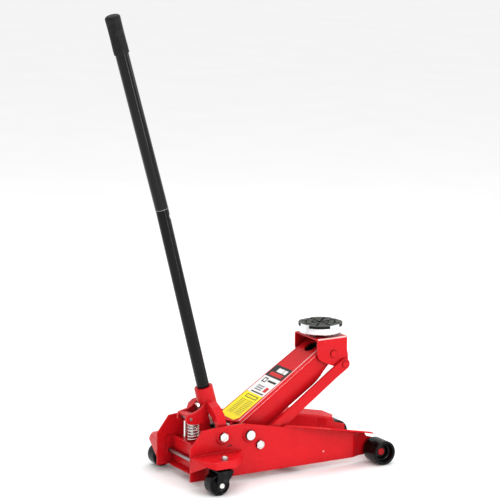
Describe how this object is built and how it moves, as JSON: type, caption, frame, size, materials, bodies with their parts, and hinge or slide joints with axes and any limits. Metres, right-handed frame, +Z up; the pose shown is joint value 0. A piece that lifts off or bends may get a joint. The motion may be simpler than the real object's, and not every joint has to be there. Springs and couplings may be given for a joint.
{
  "type": "trolley jack",
  "caption": "Low wheeled hydraulic floor jack with a swinging lift arm, level saddle, swivel casters and a long pump handle.",
  "frame": {"origin": "floor level, midway between the foremost point of the front wheels and the rearmost point of the handle grip, on the plane midway between the side plates", "axes": "+X forward to the saddle and front wheels, +Y to the left, +Z up; the wheels stand on Z = 0"},
  "size_m": [0.9071, 0.427, 1.424],
  "materials": {
    "red_paint": "gloss",
    "zinc_plate": "satin",
    "bare_steel": "machined",
    "black_satin": "satin",
    "black_gloss": "gloss",
    "rubber": "matt",
    "wheel_black": "satin",
    "fork_grey": "satin"
  },
  "bodies": {
    "chassis": {"side_plate_left": "red_paint", "side_plate_right": "red_paint", "caster_wing_left": "red_paint", "caster_wing_right": "red_paint", "rear_cross_panel": "red_paint", "rear_tie_rod": "bare_steel", "front_cross_member": "red_paint", "front_axle": "red_paint", "caster_bearing_left": "fork_grey", "caster_bearing_right": "fork_grey", "kingpin_left": "zinc_plate", "kingpin_right": "zinc_plate", "kingpin_nut_left": "zinc_plate", "kingpin_nut_right": "zinc_plate", "lift_arm_shaft": "zinc_plate", "link_stud_left": "zinc_plate", "link_stud_right": "zinc_plate", "link_nut_left": "zinc_plate", "link_nut_right": "zinc_plate", "power_unit_housing": "red_paint", "oil_reservoir": "red_paint", "filler_plug": "rubber", "hydraulic_cylinder": "bare_steel", "cylinder_gland": "bare_steel", "pump_spring": "zinc_plate", "guide_pin": "zinc_plate"},
    "front_roller_left": {"front_wheel_left": "wheel_black"},
    "front_roller_right": {"front_wheel_right": "wheel_black"},
    "caster_left": {"caster_fork_left": "fork_grey", "caster_axle_left": "zinc_plate"},
    "caster_right": {"caster_fork_right": "fork_grey", "caster_axle_right": "zinc_plate"},
    "caster_roller_left": {"caster_wheel_left": "wheel_black"},
    "caster_roller_right": {"caster_wheel_right": "wheel_black"},
    "lift_arm": {"lift_arm": "red_paint", "arm_drive_pin": "bare_steel"},
    "yoke": {"saddle_yoke": "red_paint", "yoke_pin": "red_paint", "link_upper_pin": "red_paint", "saddle_nut": "bare_steel"},
    "saddle": {"saddle_cup": "zinc_plate", "saddle_pad": "rubber"},
    "link_left": {"link_bar_left": "red_paint"},
    "link_right": {"link_bar_right": "red_paint"},
    "ram": {"ram": "bare_steel", "ram_head": "bare_steel"},
    "socket": {"handle_socket": "red_paint", "roller_pin": "bare_steel", "lever_pin": "bare_steel", "lock_bolt": "zinc_plate", "socket_bolt_left": "zinc_plate", "socket_bolt_right": "zinc_plate"},
    "pump_roller": {"pump_roller": "bare_steel"},
    "plunger": {"pump_plunger": "zinc_plate"},
    "handle": {"handle_lower": "black_satin", "handle_upper": "black_gloss", "handle_grip": "rubber", "release_rod": "zinc_plate"},
    "snap_button": {"snap_button": "zinc_plate"},
    "release_valve": {"release_coupling": "black_satin"}
  },
  "joints": [
    {"name": "front_wheel_spin_left", "type": "hinge", "parent": "chassis", "child": "front_roller_left", "pos_m": [0.41565, 0.138, 0.0379], "axis": [0, 1, 0], "continuous": true},
    {"name": "caster_swivel_left", "type": "hinge", "parent": "chassis", "child": "caster_left", "pos_m": [-0.15855, 0.1785, 0.075], "axis": [0, 0, 1], "continuous": true},
    {"name": "caster_wheel_spin_left", "type": "hinge", "parent": "caster_left", "child": "caster_roller_left", "pos_m": [-0.18505, 0.1785, 0.0336], "axis": [0, 1, 0], "continuous": true},
    {"name": "front_wheel_spin_right", "type": "hinge", "parent": "chassis", "child": "front_roller_right", "pos_m": [0.41565, -0.138, 0.0379], "axis": [0, 1, 0], "continuous": true},
    {"name": "caster_swivel_right", "type": "hinge", "parent": "chassis", "child": "caster_right", "pos_m": [-0.15855, -0.1785, 0.075], "axis": [0, 0, 1], "continuous": true},
    {"name": "caster_wheel_spin_right", "type": "hinge", "parent": "caster_right", "child": "caster_roller_right", "pos_m": [-0.18505, -0.1785, 0.0336], "axis": [0, 1, 0], "continuous": true},
    {"name": "arm_lift", "type": "hinge", "parent": "chassis", "child": "lift_arm", "pos_m": [-0.03305, 0, 0.1446], "axis": [0, -1, 0], "range_deg": [-43, 13]},
    {"name": "yoke_level", "type": "hinge", "parent": "lift_arm", "child": "yoke", "pos_m": [0.28896, 0, 0.3473], "axis": [0, -1, 0], "range_deg": [-14, 44]},
    {"name": "link_swing_left", "type": "hinge", "parent": "chassis", "child": "link_left", "pos_m": [0.00395, 0.09, 0.1089], "axis": [0, -1, 0], "range_deg": [-44, 14]},
    {"name": "link_swing_right", "type": "hinge", "parent": "chassis", "child": "link_right", "pos_m": [0.00395, -0.09, 0.1089], "axis": [0, -1, 0], "range_deg": [-44, 14]},
    {"name": "saddle_swivel", "type": "hinge", "parent": "yoke", "child": "saddle", "pos_m": [0.28215, 0, 0.4085], "axis": [0, 0, 1], "continuous": true},
    {"name": "ram_stroke", "type": "slide", "parent": "chassis", "child": "ram", "axis": [1, 0, 0], "range_m": [-0.043, 0.0135]},
    {"name": "handle_pump", "type": "hinge", "parent": "chassis", "child": "socket", "pos_m": [-0.12505, 0, 0.15], "axis": [0, -1, 0], "range_deg": [0, 30]},
    {"name": "pump_roller_spin", "type": "hinge", "parent": "socket", "child": "pump_roller", "pos_m": [-0.16905, 0, 0.192], "axis": [0, 1, 0], "continuous": true},
    {"name": "pump_plunger_stroke", "type": "slide", "parent": "chassis", "child": "plunger", "axis": [0, 0, -1], "range_m": [0, 0.029], "deforming": ["pump_spring"]},
    {"name": "handle_twist", "type": "hinge", "parent": "socket", "child": "handle", "pos_m": [-0.13617, 0, 0.3], "axis": [-0.2438, 0, 0.9698], "range_deg": [0, 90]},
    {"name": "snap_button_press", "type": "slide", "parent": "handle", "child": "snap_button", "axis": [-0.8333, 0.5115, -0.2095], "range_m": [0, 0.003], "stiffness_N_per_m": 2000, "springref_m": -0.001},
    {"name": "release_turn", "type": "hinge", "parent": "chassis", "child": "release_valve", "pos_m": [-0.09796, 0, 0.148], "axis": [-0.2438, 0, 0.9698], "range_deg": [0, 90]}
  ],
  "couplings": [
    {"joint": "yoke_level", "follows": "arm_lift", "ratio": -1},
    {"joint": "link_swing_left", "follows": "arm_lift", "ratio": 1},
    {"joint": "link_swing_right", "follows": "arm_lift", "ratio": 1},
    {"joint": "ram_stroke", "follows": "arm_lift", "m_per_rad": 0.055605},
    {"joint": "pump_plunger_stroke", "follows": "handle_pump", "m_per_rad": 0.0545},
    {"joint": "release_turn", "follows": "handle_twist", "ratio": 1}
  ]
}
